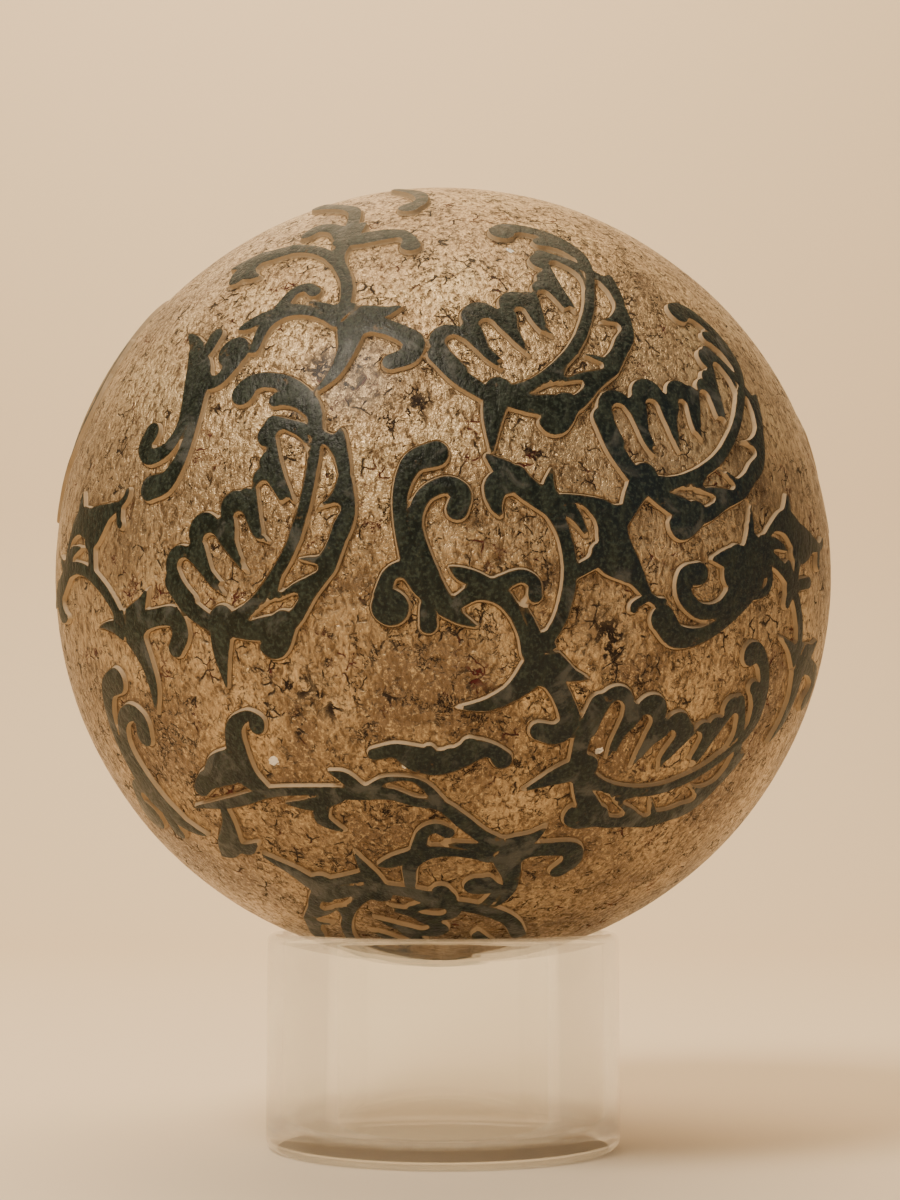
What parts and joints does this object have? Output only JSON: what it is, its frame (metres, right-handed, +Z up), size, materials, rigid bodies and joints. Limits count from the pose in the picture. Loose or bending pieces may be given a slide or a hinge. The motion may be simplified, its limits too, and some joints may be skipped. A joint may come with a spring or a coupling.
{
  "type": "decorative sphere",
  "caption": "Decorative resin sphere in crackled champagne-gold leaf with raised dark scrolling leaf ornament, resting on a short clear glass cup.",
  "frame": {"origin": "middle of the flat underside of the glass cup, on the surface it stands on", "axes": "+Z up, front towards -Y, +X to the right seen from the front"},
  "size_m": [0.1252, 0.1252, 0.1532],
  "materials": {
    "leafed_resin": "crackled gold leaf under worn gloss varnish, ornament painted dark olive and blue-black",
    "clear_glass": "clear, polished"
  },
  "bodies": {
    "root": {"carved_ball": "leafed_resin", "glass_cup": "clear_glass"}
  },
  "joints": []
}
